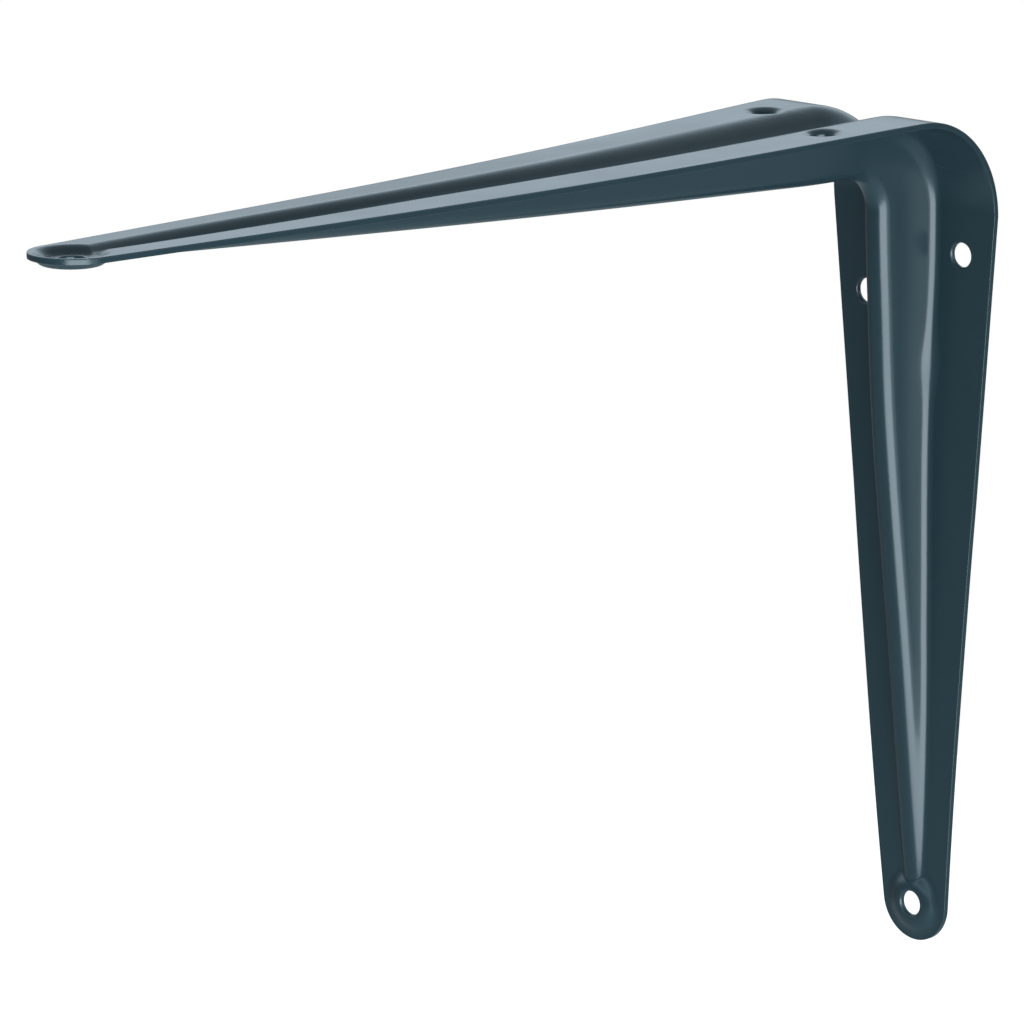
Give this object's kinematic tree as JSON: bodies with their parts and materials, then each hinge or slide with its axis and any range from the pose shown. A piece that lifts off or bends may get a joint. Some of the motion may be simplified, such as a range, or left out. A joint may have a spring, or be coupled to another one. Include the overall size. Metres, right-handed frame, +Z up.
{
  "type": "shelf bracket",
  "caption": "Right-angled shelf bracket pressed from one steel sheet: tapered arms, a rib round the inner corner that runs out in dished tips, and countersunk screw holes.",
  "frame": {"origin": "where the wall face, the shelf face and the bracket's middle plane meet, at the outer corner", "axes": "+Z up, at right angles to the shelf face; +X out from the wall along the shelf arm; Y across the bracket"},
  "size_m": [0.2, 0.0376, 0.15],
  "materials": {
    "paint": "dark slate blue-grey enamel, satin to gloss"
  },
  "bodies": {
    "root": {"bracket": "paint"}
  },
  "joints": []
}
